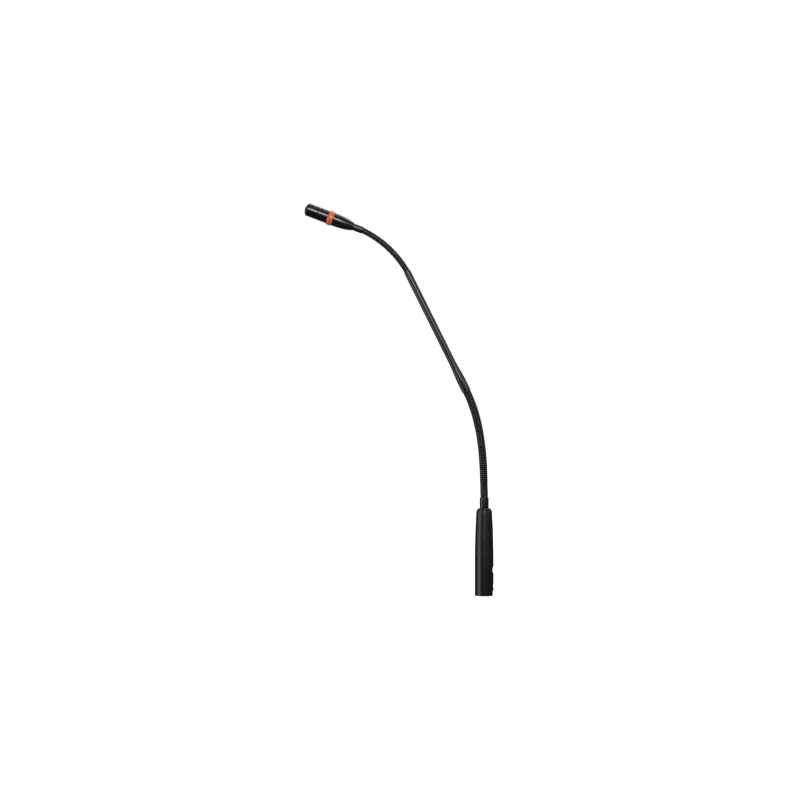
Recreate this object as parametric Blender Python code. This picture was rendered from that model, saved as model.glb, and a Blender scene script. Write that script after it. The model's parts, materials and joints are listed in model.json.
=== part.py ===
"""Gooseneck podium microphone with an XLR base, built as separate pieces.

Metres, +Z up. The origin is the centre of the base's bottom rim. The neck leaves the base
upwards and leans towards -X, and the whole microphone is symmetric about the XZ plane.
"""
import math

import bmesh
import bpy
from mathutils import Matrix, Vector

# Base: the XLR barrel at the bottom and the tapered handle above it
BARREL_RADIUS = 0.0096
BARREL_HEIGHT = 0.0300
HOUSING_HEIGHT = 0.0860
HOUSING_TOP_RADIUS = 0.0080
SHELL_BORE_RADIUS = 0.0080
SHELL_BORE_DEPTH = 0.0310
HANDLE_BORE_RADIUS = 0.0067
CLEARANCE = 0.0003

# XLR insert: three pins on a circle, evenly spaced
INSERT_FACE = 0.0170
PIN_RADIUS = 0.0012
PIN_CIRCLE_RADIUS = 0.0044
PIN_TIP = 0.0020
PIN_LENGTH = 0.0325
PIN_ANGLES = (math.radians(60), math.radians(180), math.radians(300))
SCREW_HEIGHT = 0.0260
SCREW_RADIUS = 0.0013

# Top cap, collar and what holds them
CAP_TOP = 0.0882
CAP_RADIUS = 0.0070
SPIGOT_BOTTOM = 0.0796
COLLAR_RADIUS = 0.0047
COLLAR_TOP = 0.0990
STUD_RADIUS = 0.0029
STUD_BOTTOM = 0.0745
CABLE_RADIUS = 0.0008
CABLE_BORE_RADIUS = 0.0013

# Neck: two flexible lengths with a rigid tube between them, angles from vertical
LOWER_LENGTH = 0.1100
LOWER_START_ANGLE = math.radians(1.0)
LOWER_TURN = math.radians(25.4)
LOWER_LINKS = 16
LOWER_RADIUS = 0.0039
TUBE_LENGTH = 0.1350
TUBE_RADIUS = 0.00345
FLARE_RADIUS = 0.00448
FLARE_LENGTH = 0.0126
FLARE_TAPER = 0.0130
UPPER_LENGTH = 0.0620
UPPER_FIRST_TURN = math.radians(3.7)
UPPER_TURN = math.radians(34.5)
UPPER_LAST_TURN = math.radians(4.5)
UPPER_LINKS = 12
UPPER_RADIUS = 0.0030
LINK_BORE_RADIUS = 0.0017
LOWER_END_GAP = 0.0015
UPPER_END_GAP = 0.0012
LOWER_LINK_GAP = 0.0009
UPPER_LINK_GAP = 0.0008

# Head, measured from the back of its ferrule towards the front
FERRULE_RADIUS = 0.00354
FERRULE_LENGTH = 0.0100
BODY_START = 0.0103
BODY_END = 0.0315
BODY_RADIUS = 0.00657
BODY_TAIL_RADIUS = 0.0039
RING_RADIUS = 0.0075
RING_START = 0.0318
RING_END = 0.0371
CAPSULE_TUBE_RADIUS = 0.0065
CAPSULE_TUBE_BORE = 0.0058
HOUSING_START = 0.0374
HOUSING_END = 0.0484
CAP_START = 0.0487
CAPSULE_CHAMFER = 0.0003
HEAD_LENGTH = 0.0621
DOME_RADIUS = 0.0095
SLOT_CENTRES = (0.0411, 0.0451, 0.0511, 0.0561)
SLOT_WIDTH = 0.0011
SLOT_LENGTH = 0.0034
SLOT_FLOOR = 0.0055
SLOT_BANKS = 4

BLACK_METAL = ("black_metal", (0.012, 0.012, 0.013), 0.35, 0.9)
GLOSS_BLACK = ("gloss_black", (0.010, 0.010, 0.011), 0.22, 0.6)
NECK_STEEL = ("neck_steel", (0.020, 0.020, 0.022), 0.32, 0.9)
BLACK_PLASTIC = ("black_plastic", (0.018, 0.018, 0.018), 0.5, 0.0)
LENS_RED = ("lens_red", (0.75, 0.08, 0.03), 0.25, 0.0)
PIN_SILVER = ("pin_silver", (0.80, 0.79, 0.76), 0.2, 1.0)
ZINC = ("zinc_plate", (0.55, 0.56, 0.58), 0.35, 1.0)
BOARD_GREEN = ("board_green", (0.02, 0.16, 0.07), 0.45, 0.0)
CHIP_BLACK = ("chip_black", (0.02, 0.02, 0.02), 0.55, 0.0)
LED_CLEAR = ("led_clear", (0.85, 0.30, 0.22), 0.2, 0.0)
CABLE_GREY = ("cable_grey", (0.09, 0.09, 0.10), 0.5, 0.0)
SEAL_RUBBER = ("seal_rubber", (0.03, 0.03, 0.03), 0.8, 0.0)
CAPSULE_METAL = ("capsule_metal", (0.70, 0.70, 0.69), 0.3, 1.0)
MESH_STEEL = ("mesh_steel", (0.05, 0.05, 0.05), 0.45, 0.9)


# Tools

def clear_scene():
    for obj in list(bpy.data.objects):
        bpy.data.objects.remove(obj, do_unlink=True)


def material(spec):
    name, colour, roughness, metallic = spec
    found = bpy.data.materials.get(name)
    if found:
        return found
    made = bpy.data.materials.new(name)
    made.use_nodes = True
    shader = made.node_tree.nodes["Principled BSDF"]
    shader.inputs["Base Color"].default_value = (*colour, 1.0)
    shader.inputs["Roughness"].default_value = roughness
    shader.inputs["Metallic"].default_value = metallic
    made.diffuse_color = (*colour, 1.0)
    return made


def heading_frame(point, angle):
    """Frame at a point whose Z axis leans by an angle from vertical towards -X."""
    return Matrix.Translation(point) @ Matrix.Rotation(-angle, 4, "Y")


def along_axis(axis, point):
    """Frame at a point whose Z axis points along a world axis."""
    turn = Vector((0.0, 0.0, 1.0)).rotation_difference(Vector(axis)).to_matrix().to_4x4()
    return Matrix.Translation(point) @ turn


def add_object(name, shape, spec, frame, parent=None):
    """Turn a bmesh into a named object, placed in the world by a frame."""
    bmesh.ops.recalc_face_normals(shape, faces=shape.faces)
    mesh = bpy.data.meshes.new(name)
    shape.to_mesh(mesh)
    shape.free()
    mesh.shade_smooth()
    mesh.set_sharp_from_angle(angle=math.radians(35))
    mesh.materials.append(material(spec))
    obj = bpy.data.objects.new(name, mesh)
    bpy.context.collection.objects.link(obj)
    place(obj, frame, parent)
    return obj


def add_empty(name, frame, parent=None):
    obj = bpy.data.objects.new(name, None)
    obj.empty_display_size = 0.01
    bpy.context.collection.objects.link(obj)
    place(obj, frame, parent)
    return obj


def place(obj, frame, parent):
    """Give an object its world frame, under a parent if it has one."""
    if parent:
        obj.parent = parent
        obj.matrix_basis = parent.matrix_world.inverted() @ frame
    else:
        obj.matrix_basis = frame
    bpy.context.view_layer.update()


def revolve(shape, section, sides):
    """Turn a section of (radius, height) points about Z.

    A section that touches the axis runs from axis to axis. Any other closes on itself.
    """
    rings = []
    for radius, height in section:
        if radius == 0.0:
            rings.append([shape.verts.new((0.0, 0.0, height))])
            continue
        ring = []
        for side in range(sides):
            angle = math.tau * side / sides
            ring.append(shape.verts.new((radius * math.cos(angle), radius * math.sin(angle), height)))
        rings.append(ring)
    pairs = list(zip(rings, rings[1:]))
    if section[0][0] > 0.0:
        pairs.append((rings[-1], rings[0]))
    for lower, upper in pairs:
        for side in range(sides):
            after = (side + 1) % sides
            corners = [lower[side % len(lower)], lower[after % len(lower)],
                       upper[after % len(upper)], upper[side % len(upper)]]
            shape.faces.new(list(dict.fromkeys(corners)))


def turned(name, section, sides, spec, frame, parent=None):
    shape = bmesh.new()
    revolve(shape, section, sides)
    return add_object(name, shape, spec, frame, parent)


def add_block(shape, low, high):
    """Add a box between two corners to a bmesh."""
    centre = (Vector(low) + Vector(high)) / 2
    size = Vector(high) - Vector(low)
    place_block = Matrix.Translation(centre) @ Matrix.Diagonal((*size, 1.0))
    bmesh.ops.create_cube(shape, size=1.0, matrix=place_block)


def block(name, low, high, spec, frame, parent=None, bevel=0.0):
    shape = bmesh.new()
    add_block(shape, low, high)
    if bevel:
        bmesh.ops.bevel(shape, geom=shape.edges[:], offset=bevel, segments=1, affect="EDGES")
    return add_object(name, shape, spec, frame, parent)


def cut(target, name, shape):
    """Cut a bmesh, given in the target's own frame, out of the target."""
    cutter = add_object(name, shape, BLACK_METAL, target.matrix_world.copy(), target)
    cutter.hide_render = True
    cutter.display_type = "WIRE"
    tool = target.modifiers.new(name, "BOOLEAN")
    tool.operation = "DIFFERENCE"
    tool.solver = "EXACT"
    tool.object = cutter


def boxes(*corner_pairs):
    shape = bmesh.new()
    for low, high in corner_pairs:
        add_block(shape, low, high)
    return shape


def posts(centres, radius, bottom, top, sides):
    """Upright round posts at (x, y) centres, as one bmesh for cutting."""
    shape = bmesh.new()
    for x, y in centres:
        tool = Matrix.Translation((x, y, (bottom + top) / 2))
        bmesh.ops.create_cone(shape, cap_ends=True, segments=sides, radius1=radius,
                              radius2=radius, depth=top - bottom, matrix=tool)
    return shape


# The route of the neck

def lower_angle(share):
    """Lean of the lower flexible length, at a share of its length from the bottom."""
    return LOWER_START_ANGLE + LOWER_TURN * share ** 2


def upper_angle(share):
    return lower_angle(1.0) + UPPER_FIRST_TURN + UPPER_TURN * share


def head_angle():
    return upper_angle(1.0) + UPPER_LAST_TURN


def walk(start, angle_at, length, distances):
    """Points at given distances along a curve whose lean is a function of its share."""
    steps = 440
    point = Vector(start)
    found = []
    travelled = 0.0
    for distance in distances:
        stretch = (distance - travelled) / steps
        for step in range(steps):
            angle = angle_at((travelled + (step + 0.5) * stretch) / length)
            point = point + stretch * Vector((-math.sin(angle), 0.0, math.cos(angle)))
        travelled = distance
        found.append(point.copy())
    return found


def joint_distances(length, end_gap, links):
    """Distances of the joints along a flexible length: one more joint than it has links."""
    pitch = (length - 2 * end_gap) / links
    return [end_gap + pitch * number for number in range(links + 1)]


def neck_route():
    """Joint points of both flexible lengths, and the two ends of the rigid tube."""
    collar_mouth = Vector((0.0, 0.0, COLLAR_TOP))
    stations = joint_distances(LOWER_LENGTH, LOWER_END_GAP, LOWER_LINKS)
    lower = walk(collar_mouth, lower_angle, LOWER_LENGTH, stations + [LOWER_LENGTH])
    tube_bottom = lower.pop()
    lean = lower_angle(1.0)
    tube_top = tube_bottom + TUBE_LENGTH * Vector((-math.sin(lean), 0.0, math.cos(lean)))
    stations = joint_distances(UPPER_LENGTH, UPPER_END_GAP, UPPER_LINKS)
    upper = walk(tube_top, upper_angle, UPPER_LENGTH, stations + [UPPER_LENGTH])
    head_back = upper.pop()
    return lower, tube_bottom, tube_top, upper, head_back


# Base pieces

def housing_radius(height):
    """Outer radius: a plain barrel below, and a parabola that narrows upwards above it."""
    share = max(0.0, (height - BARREL_HEIGHT) / (HOUSING_HEIGHT - BARREL_HEIGHT))
    return BARREL_RADIUS - (BARREL_RADIUS - HOUSING_TOP_RADIUS) * share ** 2


def base_housing(base):
    edge = 0.0008
    taper_steps = 8
    outline = [(SHELL_BORE_RADIUS, 0.0), (BARREL_RADIUS - edge, 0.0),
               (BARREL_RADIUS - 0.3 * edge, 0.3 * edge), (BARREL_RADIUS, edge)]
    for step in range(taper_steps):
        height = BARREL_HEIGHT + (HOUSING_HEIGHT - BARREL_HEIGHT) * step / taper_steps
        outline.append((housing_radius(height), height))
    lip = 0.0003
    outline += [(housing_radius(HOUSING_HEIGHT - lip), HOUSING_HEIGHT - lip),
                (HOUSING_TOP_RADIUS - lip, HOUSING_HEIGHT),
                (HANDLE_BORE_RADIUS, HOUSING_HEIGHT), (HANDLE_BORE_RADIUS, SHELL_BORE_DEPTH),
                (SHELL_BORE_RADIUS, SHELL_BORE_DEPTH)]
    housing = turned("base_housing", outline, 32, BLACK_METAL, Matrix.Identity(4), base)
    reach = 0.0120
    flat = 0.0060
    lead_in = ((0.00865, -flat, -0.001), (reach, flat, 0.0050))
    latch_window = ((0.0060, -0.0033, 0.0086), (reach, 0.0033, 0.0112))
    screw_flat = ((0.0085, -flat, 0.0232), (reach, flat, 0.0288))
    cut(housing, "housing_cuts", boxes(lead_in, latch_window, screw_flat))
    hole = bmesh.new()
    radius = SCREW_RADIUS + CLEARANCE
    bmesh.ops.create_cone(hole, cap_ends=True, segments=12, radius1=radius, radius2=radius, depth=0.004,
                          matrix=along_axis((1, 0, 0), (0.0085, 0.0, SCREW_HEIGHT)))
    cut(housing, "screw_hole", hole)


def pin_centres():
    return [(PIN_CIRCLE_RADIUS * math.cos(angle), PIN_CIRCLE_RADIUS * math.sin(angle))
            for angle in PIN_ANGLES]


def xlr_insert(base):
    radius = SHELL_BORE_RADIUS - CLEARANCE
    back = SHELL_BORE_DEPTH - CLEARANCE
    step = 0.0004
    outline = [(0.0, INSERT_FACE), (radius - step, INSERT_FACE), (radius, INSERT_FACE + step),
               (radius, back), (0.0, back)]
    insert = turned("xlr_insert", outline, 24, BLACK_PLASTIC, Matrix.Identity(4), base)
    bore = PIN_RADIUS + CLEARANCE
    cut(insert, "insert_pin_holes", posts(pin_centres(), bore, INSERT_FACE - 0.002, back + 0.002, 12))
    hole = bmesh.new()
    radius = SCREW_RADIUS + CLEARANCE
    bmesh.ops.create_cone(hole, cap_ends=True, segments=12, radius1=radius, radius2=radius, depth=0.004,
                          matrix=along_axis((1, 0, 0), (0.0077, 0.0, SCREW_HEIGHT)))
    cut(insert, "insert_screw_hole", hole)


def xlr_pins(base):
    """Contact pins, with a rounded tip below and a solder cup above."""
    nose = 0.0008
    cup = 0.0030
    outline = [(0.0, 0.0), (PIN_RADIUS - nose, 0.0), (PIN_RADIUS, nose), (PIN_RADIUS, PIN_LENGTH),
               (0.0007, PIN_LENGTH), (0.0007, PIN_LENGTH - cup), (0.0, PIN_LENGTH - cup)]
    for number, (x, y) in enumerate(pin_centres(), start=1):
        frame = Matrix.Translation((x, y, PIN_TIP))
        turned("xlr_pin_%d" % number, outline, 12, PIN_SILVER, frame, base)


def insert_screw(base):
    """Set screw that holds the insert, driven in from +X, with a slot across its end."""
    length = 0.0023
    start = 0.0060
    outline = [(0.0, 0.0), (SCREW_RADIUS, 0.0), (SCREW_RADIUS, length), (0.0, length)]
    frame = along_axis((1, 0, 0), (start, 0.0, SCREW_HEIGHT))
    screw = turned("insert_screw", outline, 16, ZINC, frame, base)
    slot = boxes(((-0.002, -0.0002, length - 0.0006), (0.002, 0.0002, length + 0.001)))
    cut(screw, "screw_slot", slot)


def ground_spring(base):
    """Bent strip that ties the shell to the contacts, on top of the insert."""
    thickness = 0.0004
    foot = 0.0022
    rise = 0.0042
    shape = bmesh.new()
    outline = [(0.0, 0.0), (foot, 0.0), (foot, rise), (foot - thickness, rise),
               (foot - thickness, thickness), (0.0, thickness)]
    front = [shape.verts.new((x, -0.001, z)) for x, z in outline]
    face = shape.faces.new(front)
    grown = bmesh.ops.extrude_face_region(shape, geom=[face])
    moved = [item for item in grown["geom"] if isinstance(item, bmesh.types.BMVert)]
    bmesh.ops.translate(shape, verts=moved, vec=(0.0, 0.002, 0.0))
    frame = Matrix.Rotation(math.radians(120), 4, "Z")
    frame = frame @ Matrix.Translation((0.0039, 0.0, SHELL_BORE_DEPTH))
    add_object("ground_spring", shape, ZINC, frame, base)


def base_top_cap(base):
    flange_bottom = HOUSING_HEIGHT + CLEARANCE
    spigot_radius = HANDLE_BORE_RADIUS - CLEARANCE
    hole = STUD_RADIUS + CLEARANCE
    edge = 0.0005
    outline = [(hole, SPIGOT_BOTTOM), (spigot_radius, SPIGOT_BOTTOM), (spigot_radius, flange_bottom),
               (CAP_RADIUS, flange_bottom), (CAP_RADIUS, CAP_TOP - edge), (CAP_RADIUS - edge, CAP_TOP),
               (hole, CAP_TOP)]
    turned("base_top_cap", outline, 28, GLOSS_BLACK, Matrix.Identity(4), base)


def neck_collar(base):
    """Collar with the neck's socket above and a threaded stud below."""
    bottom = CAP_TOP + CLEARANCE
    socket = LOWER_RADIUS + 0.0003
    socket_floor = 0.0930
    edge = 0.0003
    outline = [(CABLE_BORE_RADIUS, STUD_BOTTOM), (STUD_RADIUS, STUD_BOTTOM), (STUD_RADIUS, bottom),
               (COLLAR_RADIUS, bottom), (COLLAR_RADIUS, COLLAR_TOP - edge),
               (COLLAR_RADIUS - edge, COLLAR_TOP), (socket, COLLAR_TOP), (socket, socket_floor),
               (CABLE_BORE_RADIUS, socket_floor)]
    turned("neck_collar", outline, 20, BLACK_METAL, Matrix.Identity(4), base)


def collar_fasteners(base):
    """Hexagon nut and washer that clamp the collar's stud to the cap."""
    nut_height = 0.0030
    nut_top = 0.0782
    across_flats = 0.0100
    bore = STUD_RADIUS + CLEARANCE
    shape = bmesh.new()
    corner = across_flats / 2 / math.cos(math.pi / 6)
    revolve(shape, [(bore, 0.0), (corner, 0.0), (corner, nut_height), (bore, nut_height)], 6)
    frame = Matrix.Translation((0.0, 0.0, nut_top - nut_height))
    nut = add_object("collar_nut", shape, ZINC, frame, base)
    cut(nut, "nut_thread", posts([(0.0, 0.0)], bore, -0.001, nut_height + 0.001, 16))
    washer = [(bore, 0.0), (0.0050, 0.0), (0.0050, 0.0008), (bore, 0.0008)]
    turned("lock_washer", washer, 20, ZINC, Matrix.Translation((0.0, 0.0, nut_top + CLEARANCE)), base)


def preamplifier(base):
    """Circuit board in the handle, with its amplifier chip and coupling capacitors."""
    half_width = 0.0055
    half_thickness = 0.0006
    bottom = 0.0370
    block("preamp_board", (-half_width, -half_thickness, bottom), (half_width, half_thickness, 0.0720),
          BOARD_GREEN, Matrix.Identity(4), base)
    side = half_thickness + CLEARANCE
    block("preamp_chip", (-0.0025, side, 0.0500), (0.0025, side + 0.0016, 0.0540),
          CHIP_BLACK, Matrix.Identity(4), base, bevel=0.0002)
    can = 0.0025
    edge = 0.0003
    outline = [(0.0, 0.0), (can - edge, 0.0), (can, edge), (can, 0.0070 - edge),
               (can - edge, 0.0070), (0.0, 0.0070)]
    for number, height in enumerate((0.0420, 0.0550), start=1):
        frame = Matrix.Translation((0.0, -side - can, height))
        turned("coupling_capacitor_%d" % number, outline, 16, CAPSULE_METAL, frame, base)


# Neck pieces

def link_section(length, radius, gap):
    """Section of one link, whose joints are at 0 and at its length."""
    bevel = 0.0006
    bottom = gap / 2
    top = length - gap / 2
    return [(LINK_BORE_RADIUS, bottom), (radius - bevel, bottom), (radius, bottom + bevel),
            (radius, top - bevel), (radius - bevel, top), (LINK_BORE_RADIUS, top)]


def neck_links(prefix, joints, radius, gap, parent):
    """Links of one flexible length, each turning about the joint at its lower end."""
    for number, (start, end) in enumerate(zip(joints, joints[1:]), start=1):
        span = end - start
        frame = heading_frame(start, math.atan2(-span.x, span.z))
        name = "%s_%02d" % (prefix, number)
        section = link_section(span.length, radius, gap)
        parent = turned(name, section, 12, NECK_STEEL, frame, parent)
    return parent


def rigid_tube(parent, joint, bottom):
    """Tube with a flared socket below. Its origin is the last joint of the lower neck."""
    start = (bottom - joint).length
    lower_socket = LOWER_RADIUS + 0.0002
    upper_socket = UPPER_RADIUS + 0.0002
    bore = 0.0022
    socket_depth = 0.0080
    edge = 0.0002
    section = [(lower_socket, 0.0), (FLARE_RADIUS - edge, 0.0), (FLARE_RADIUS, edge),
               (FLARE_RADIUS, FLARE_LENGTH), (TUBE_RADIUS + 0.0002, FLARE_LENGTH + FLARE_TAPER),
               (TUBE_RADIUS, FLARE_LENGTH + FLARE_TAPER + 0.006), (TUBE_RADIUS, TUBE_LENGTH),
               (upper_socket, TUBE_LENGTH), (upper_socket, TUBE_LENGTH - socket_depth),
               (bore, TUBE_LENGTH - socket_depth - 0.001), (bore, socket_depth + 0.002),
               (lower_socket, socket_depth)]
    section = [(radius, start + height) for radius, height in section]
    return turned("rigid_tube", section, 20, BLACK_METAL, heading_frame(joint, lower_angle(1.0)), parent)


def signal_cable(parent, route):
    """Cable from the circuit board to the capsule, through every hollow piece on its way."""
    lower, tube_bottom, tube_top, upper, head_back = route
    lean = head_angle()
    heading = Vector((-math.sin(lean), 0.0, math.cos(lean)))
    points = [Vector((0.0, 0.0, 0.0726)), *lower, tube_bottom, tube_top, *upper, head_back]
    points.append(head_back + 0.0446 * heading)
    sides = 6
    shape = bmesh.new()
    rings = []
    for number, point in enumerate(points):
        ahead = points[min(number + 1, len(points) - 1)] - points[max(number - 1, 0)]
        frame = heading_frame(point, math.atan2(-ahead.x, ahead.z))
        ring = []
        for side in range(sides):
            angle = math.tau * side / sides
            corner = Vector((CABLE_RADIUS * math.cos(angle), CABLE_RADIUS * math.sin(angle), 0.0))
            ring.append(shape.verts.new(parent.matrix_world.inverted() @ (frame @ corner)))
        rings.append(ring)
    for lower_ring, upper_ring in zip(rings, rings[1:]):
        for side in range(sides):
            after = (side + 1) % sides
            shape.faces.new((lower_ring[side], lower_ring[after], upper_ring[after], upper_ring[side]))
    shape.faces.new(rings[0])
    shape.faces.new(rings[-1])
    add_object("signal_cable", shape, CABLE_GREY, parent.matrix_world.copy(), parent)


# Head pieces

def head_ferrule(head, frame):
    socket = UPPER_RADIUS + 0.0002
    socket_depth = 0.0080
    stub_radius = 0.0026
    edge = 0.0002
    section = [(socket, 0.0), (FERRULE_RADIUS - edge, 0.0), (FERRULE_RADIUS, edge),
               (FERRULE_RADIUS, FERRULE_LENGTH), (stub_radius, FERRULE_LENGTH), (stub_radius, 0.0160),
               (CABLE_BORE_RADIUS, 0.0160), (CABLE_BORE_RADIUS, socket_depth + 0.001),
               (socket, socket_depth)]
    turned("head_ferrule", section, 16, BLACK_METAL, frame, head)


def head_body(head, frame):
    """Boat-tailed shell, with a spigot in front that carries the ring and the capsule tube."""
    steps = 7
    section = [(0.0029, BODY_START)]
    for step in range(steps + 1):
        share = step / steps
        radius = BODY_RADIUS - (BODY_RADIUS - BODY_TAIL_RADIUS) * (1 - share) ** 2.55
        section.append((radius, BODY_START + (BODY_END - BODY_START) * share))
    section += [(0.0048, BODY_END), (0.0048, 0.0396), (0.0039, 0.0396), (0.0039, 0.0210),
                (0.0029, 0.0185)]
    turned("head_body", section, 28, GLOSS_BLACK, frame, head)


def led_ring(head, frame):
    """Light ring, hollow behind its outer wall so that the lamps fit under it."""
    inner = 0.0057
    hollow = 0.00655
    wall = 0.0008
    bevel = 0.0005
    section = [(inner, RING_START), (RING_RADIUS - bevel, RING_START), (RING_RADIUS, RING_START + bevel),
               (RING_RADIUS, RING_END - bevel), (RING_RADIUS - bevel, RING_END), (inner, RING_END),
               (inner, RING_END - wall), (hollow, RING_END - wall), (hollow, RING_START + wall),
               (inner, RING_START + wall)]
    turned("led_ring", section, 28, LENS_RED, frame, head)


def led_strip(head, frame):
    """Round circuit strip on the spigot, with four lamps that face outwards."""
    inner = 0.0051
    outer = 0.0054
    middle = (RING_START + RING_END) / 2
    half = 0.0024
    section = [(inner, middle - half), (outer, middle - half), (outer, middle + half),
               (inner, middle + half)]
    turned("led_board", section, 20, BOARD_GREEN, frame, head)
    for number in range(4):
        turn = Matrix.Rotation(math.radians(45) + math.tau * number / 4, 4, "Z")
        low = (outer + 0.0002, -0.0008, middle - 0.0008)
        high = (outer + 0.0008, 0.0008, middle + 0.0008)
        block("led_%d" % (number + 1), low, high, LED_CLEAR, frame @ turn, head)


def slot_boxes(centres):
    """Short slots across the capsule tube, in banks half way between its four sides."""
    shape = bmesh.new()
    for bank in range(SLOT_BANKS):
        bank_slots = bmesh.new()
        for centre in centres:
            add_block(bank_slots, (SLOT_FLOOR, -SLOT_LENGTH / 2, centre - SLOT_WIDTH / 2),
                      (0.0080, SLOT_LENGTH / 2, centre + SLOT_WIDTH / 2))
        turn = math.tau * (bank + 0.5) / SLOT_BANKS
        bmesh.ops.transform(bank_slots, matrix=Matrix.Rotation(turn, 4, "Z"), verts=bank_slots.verts)
        made = bpy.data.meshes.new("bank")
        bank_slots.to_mesh(made)
        bank_slots.free()
        shape.from_mesh(made)
        bpy.data.meshes.remove(made)
    return shape


def capsule_housing(head, frame):
    socket = 0.0051
    socket_end = 0.0399
    section = [(socket, HOUSING_START), (CAPSULE_TUBE_RADIUS, HOUSING_START),
               (CAPSULE_TUBE_RADIUS, HOUSING_END - CAPSULE_CHAMFER),
               (CAPSULE_TUBE_RADIUS - CAPSULE_CHAMFER, HOUSING_END), (CAPSULE_TUBE_BORE, HOUSING_END),
               (CAPSULE_TUBE_BORE, socket_end), (socket, socket_end)]
    housing = turned("capsule_housing", section, 28, GLOSS_BLACK, frame, head)
    cut(housing, "housing_slots", slot_boxes(SLOT_CENTRES[:2]))


def capsule_cap(head, frame):
    """Domed front cap, with slots at its sides and round sound holes in its front."""
    wall = CAPSULE_TUBE_RADIUS - CAPSULE_TUBE_BORE
    centre = HEAD_LENGTH - DOME_RADIUS
    steps = 5
    outer = []
    inner = []
    for step in range(steps + 1):
        share = 1 - step / steps
        for radius, sphere, points in ((CAPSULE_TUBE_RADIUS, DOME_RADIUS, outer),
                                       (CAPSULE_TUBE_BORE, DOME_RADIUS - wall, inner)):
            points.append((radius * share, centre + math.sqrt(sphere ** 2 - (radius * share) ** 2)))
    section = [*outer[::-1], (CAPSULE_TUBE_RADIUS, CAP_START + CAPSULE_CHAMFER),
               (CAPSULE_TUBE_RADIUS - CAPSULE_CHAMFER, CAP_START), (CAPSULE_TUBE_BORE, CAP_START), *inner]
    cap = turned("capsule_cap", section, 28, GLOSS_BLACK, frame, head)
    cut(cap, "cap_slots", slot_boxes(SLOT_CENTRES[2:]))
    circle = 0.0029
    holes = [(0.0, 0.0)]
    for number in range(6):
        angle = math.tau * number / 6
        holes.append((circle * math.cos(angle), circle * math.sin(angle)))
    cut(cap, "sound_holes", posts(holes, 0.0008, 0.0560, 0.0640, 10))


def capsule_pieces(head, frame):
    """Everything inside the capsule tube: mesh lining, front mesh, seal and capsule."""
    lining = [(0.00515, 0.0402), (0.0054, 0.0402), (0.0054, 0.0584), (0.00515, 0.0584)]
    turned("mesh_lining", lining, 20, MESH_STEEL, frame, head)
    mesh = [(0.0, 0.0587), (0.0051, 0.0587), (0.0051, 0.0590), (0.0, 0.0590)]
    turned("front_mesh", mesh, 20, MESH_STEEL, frame, head)
    seal = [(0.0020, 0.0449), (0.00485, 0.0449), (0.00485, 0.0457), (0.0020, 0.0457)]
    turned("capsule_seal", seal, 16, SEAL_RUBBER, frame, head)
    edge = 0.0003
    can = 0.00485
    capsule = [(0.0, 0.0460), (can - edge, 0.0460), (can, 0.0460 + edge), (can, 0.0520 - edge),
               (can - edge, 0.0520), (0.0020, 0.0520), (0.0020, 0.0516), (0.0, 0.0516)]
    turned("capsule", capsule, 20, CAPSULE_METAL, frame, head)


def build():
    clear_scene()
    base = add_empty("base", Matrix.Identity(4))
    base_housing(base)
    xlr_insert(base)
    xlr_pins(base)
    insert_screw(base)
    ground_spring(base)
    base_top_cap(base)
    neck_collar(base)
    collar_fasteners(base)
    preamplifier(base)

    route = neck_route()
    lower, tube_bottom, _, upper, head_back = route
    last_lower = neck_links("lower_neck_link", lower, LOWER_RADIUS, LOWER_LINK_GAP, base)
    tube = rigid_tube(last_lower, lower[-1], tube_bottom)
    signal_cable(tube, route)
    last_upper = neck_links("upper_neck_link", upper, UPPER_RADIUS, UPPER_LINK_GAP, tube)

    head = add_empty("head", heading_frame(upper[-1], head_angle()), last_upper)
    frame = heading_frame(head_back, head_angle())
    head_ferrule(head, frame)
    head_body(head, frame)
    led_ring(head, frame)
    led_strip(head, frame)
    capsule_housing(head, frame)
    capsule_cap(head, frame)
    capsule_pieces(head, frame)


build()
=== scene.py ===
"""Looks of the gooseneck podium microphone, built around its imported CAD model.

Metres, +Z up, in the CAD's own frame. The neck leans towards -X, and +Y is away from the camera.
Every shell, tube and wire is rebuilt here at full detail in the place that its CAD node holds.
"""
import json
import math

import bmesh
import bpy
import numpy as np
from mathutils import Matrix, Vector

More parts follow.
